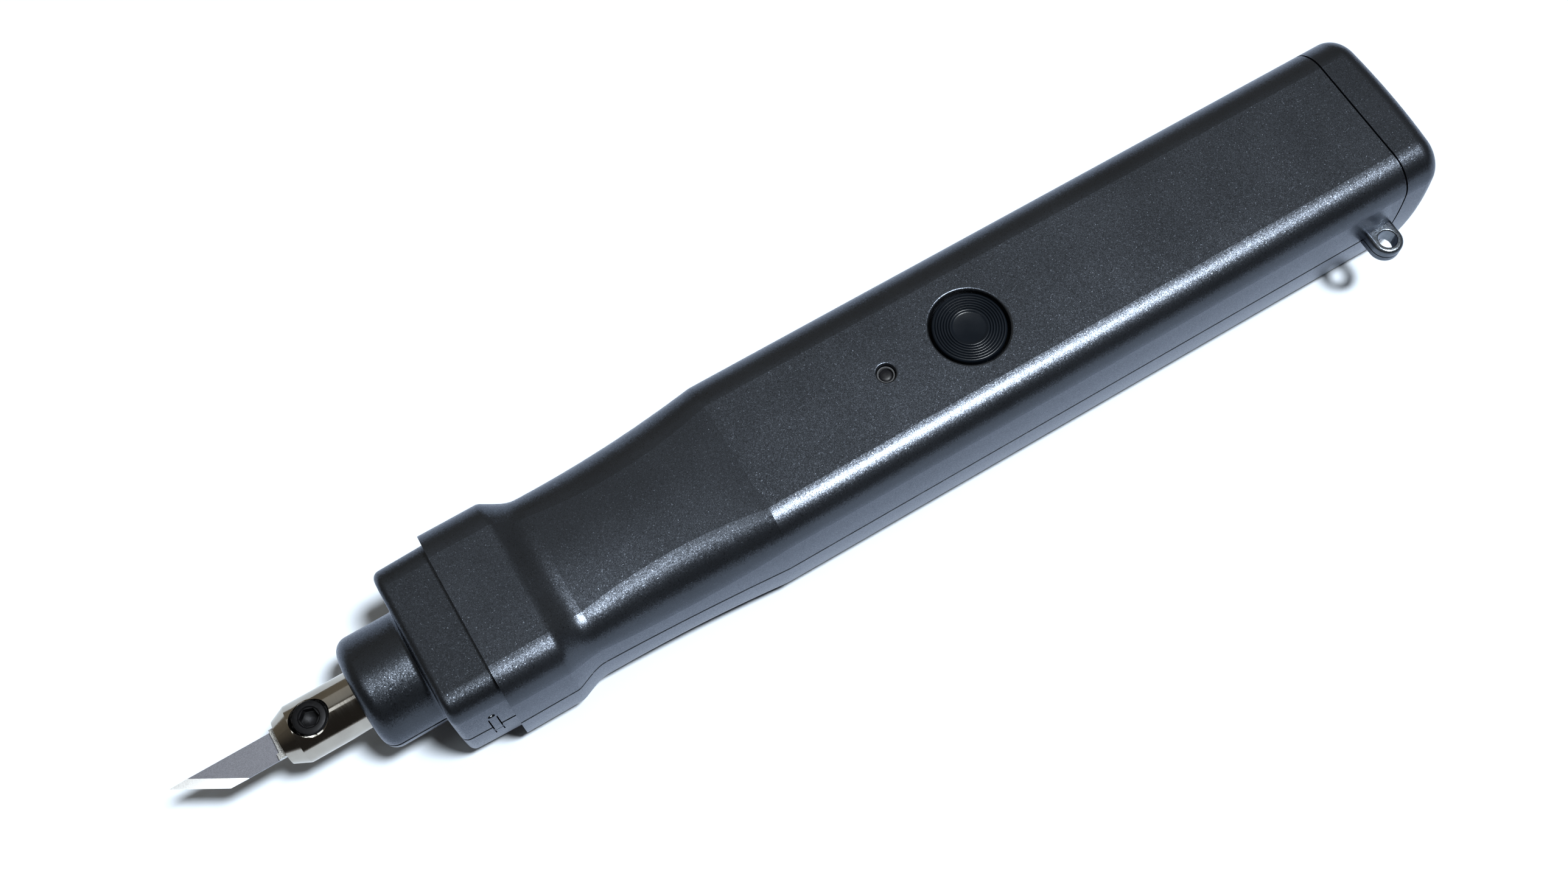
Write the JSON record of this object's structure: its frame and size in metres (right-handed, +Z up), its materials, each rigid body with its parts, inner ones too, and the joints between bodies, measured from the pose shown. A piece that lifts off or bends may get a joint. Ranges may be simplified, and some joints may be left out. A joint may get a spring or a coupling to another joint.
{
  "type": "electric utility knife",
  "caption": "Cordless electric utility knife: waisted two-part housing with power button, strap lug and round snout, and an oscillating steel holder that clamps an art-knife blade.",
  "frame": {"origin": "on the flat underside, below the tool axis, half way between blade tip and tail", "axes": "+X along the tool from the blade tip to the tail, +Z up out of the face that holds the button, so the strap lug is on the -Y side"},
  "size_m": [0.209, 0.0344, 0.025],
  "materials": {
    "housing_plastic": "charcoal metallic-flake satin",
    "nose_plastic": "charcoal satin",
    "cap_plastic": "charcoal satin, smoother",
    "button_plastic": "matte black",
    "lens_clear": "smoky clear lens",
    "black_plastic": "moulded black",
    "white_plastic": "moulded natural",
    "nickel_steel": "polished nickel",
    "blade_steel": "ground steel, bright bevel",
    "plain_steel": "turned",
    "black_steel": "black oxide",
    "bronze": "sintered bronze",
    "magnet": "nickel plated",
    "copper": "enamelled wire",
    "seal_rubber": "soft black",
    "board_green": "solder mask",
    "cell_wrap": "shrink sleeve",
    "wire_red": "insulation",
    "wire_black": "insulation"
  },
  "bodies": {
    "housing": {"upper_shell": "housing_plastic", "lower_shell": "housing_plastic", "nose_upper": "nose_plastic", "nose_lower": "nose_plastic", "end_cap": "cap_plastic", "shell_screws": "black_steel", "nose_seal": "seal_rubber", "nose_bush": "bronze", "stator_tube": "plain_steel", "front_plate": "black_plastic", "rear_plate": "black_plastic", "rear_bush": "bronze", "coil_bobbin": "white_plastic", "drive_coils": "copper", "front_spring": "plain_steel", "rear_spring": "plain_steel", "control_board": "board_green", "board_screws": "plain_steel", "driver_chips": "black_plastic", "switch_body": "black_plastic", "indicator_led": "lens_clear", "led_leads": "plain_steel", "battery_cell": "cell_wrap", "battery_tabs": "plain_steel", "battery_leads": "wire_red", "charge_board": "board_green", "charge_socket": "plain_steel", "charge_lead": "wire_black", "drive_leads": "wire_black"},
    "button": {"button_cap": "button_plastic", "switch_plunger": "button_plastic"},
    "plunger": {"blade_holder": "nickel_steel", "clamp_plate": "plain_steel", "plunger_shaft": "plain_steel", "drive_magnet": "magnet", "pole_pieces": "plain_steel", "retaining_rings": "black_steel"},
    "set_screw": {"set_screw": "black_steel"},
    "blade": {"blade": "blade_steel"}
  },
  "joints": [
    {"name": "button_press", "type": "slide", "parent": "housing", "child": "button", "axis": [0, 0, -1], "range_m": [0, 0.0006], "stiffness_N_per_m": 2500},
    {"name": "blade_stroke", "type": "slide", "parent": "housing", "child": "plunger", "axis": [1, 0, 0], "range_m": [-0.00075, 0.00075], "stiffness_N_per_m": 3000, "deforming": ["front_spring", "rear_spring"]},
    {"name": "set_screw_turn", "type": "hinge", "parent": "plunger", "child": "set_screw", "pos_m": [-0.0829, 0, 0.0167], "axis": [0, 0, 1], "range_deg": [0, 360]},
    {"name": "blade_draw", "type": "slide", "parent": "plunger", "child": "blade", "axis": [-1, 0, 0], "range_m": [0, 0.016]}
  ]
}
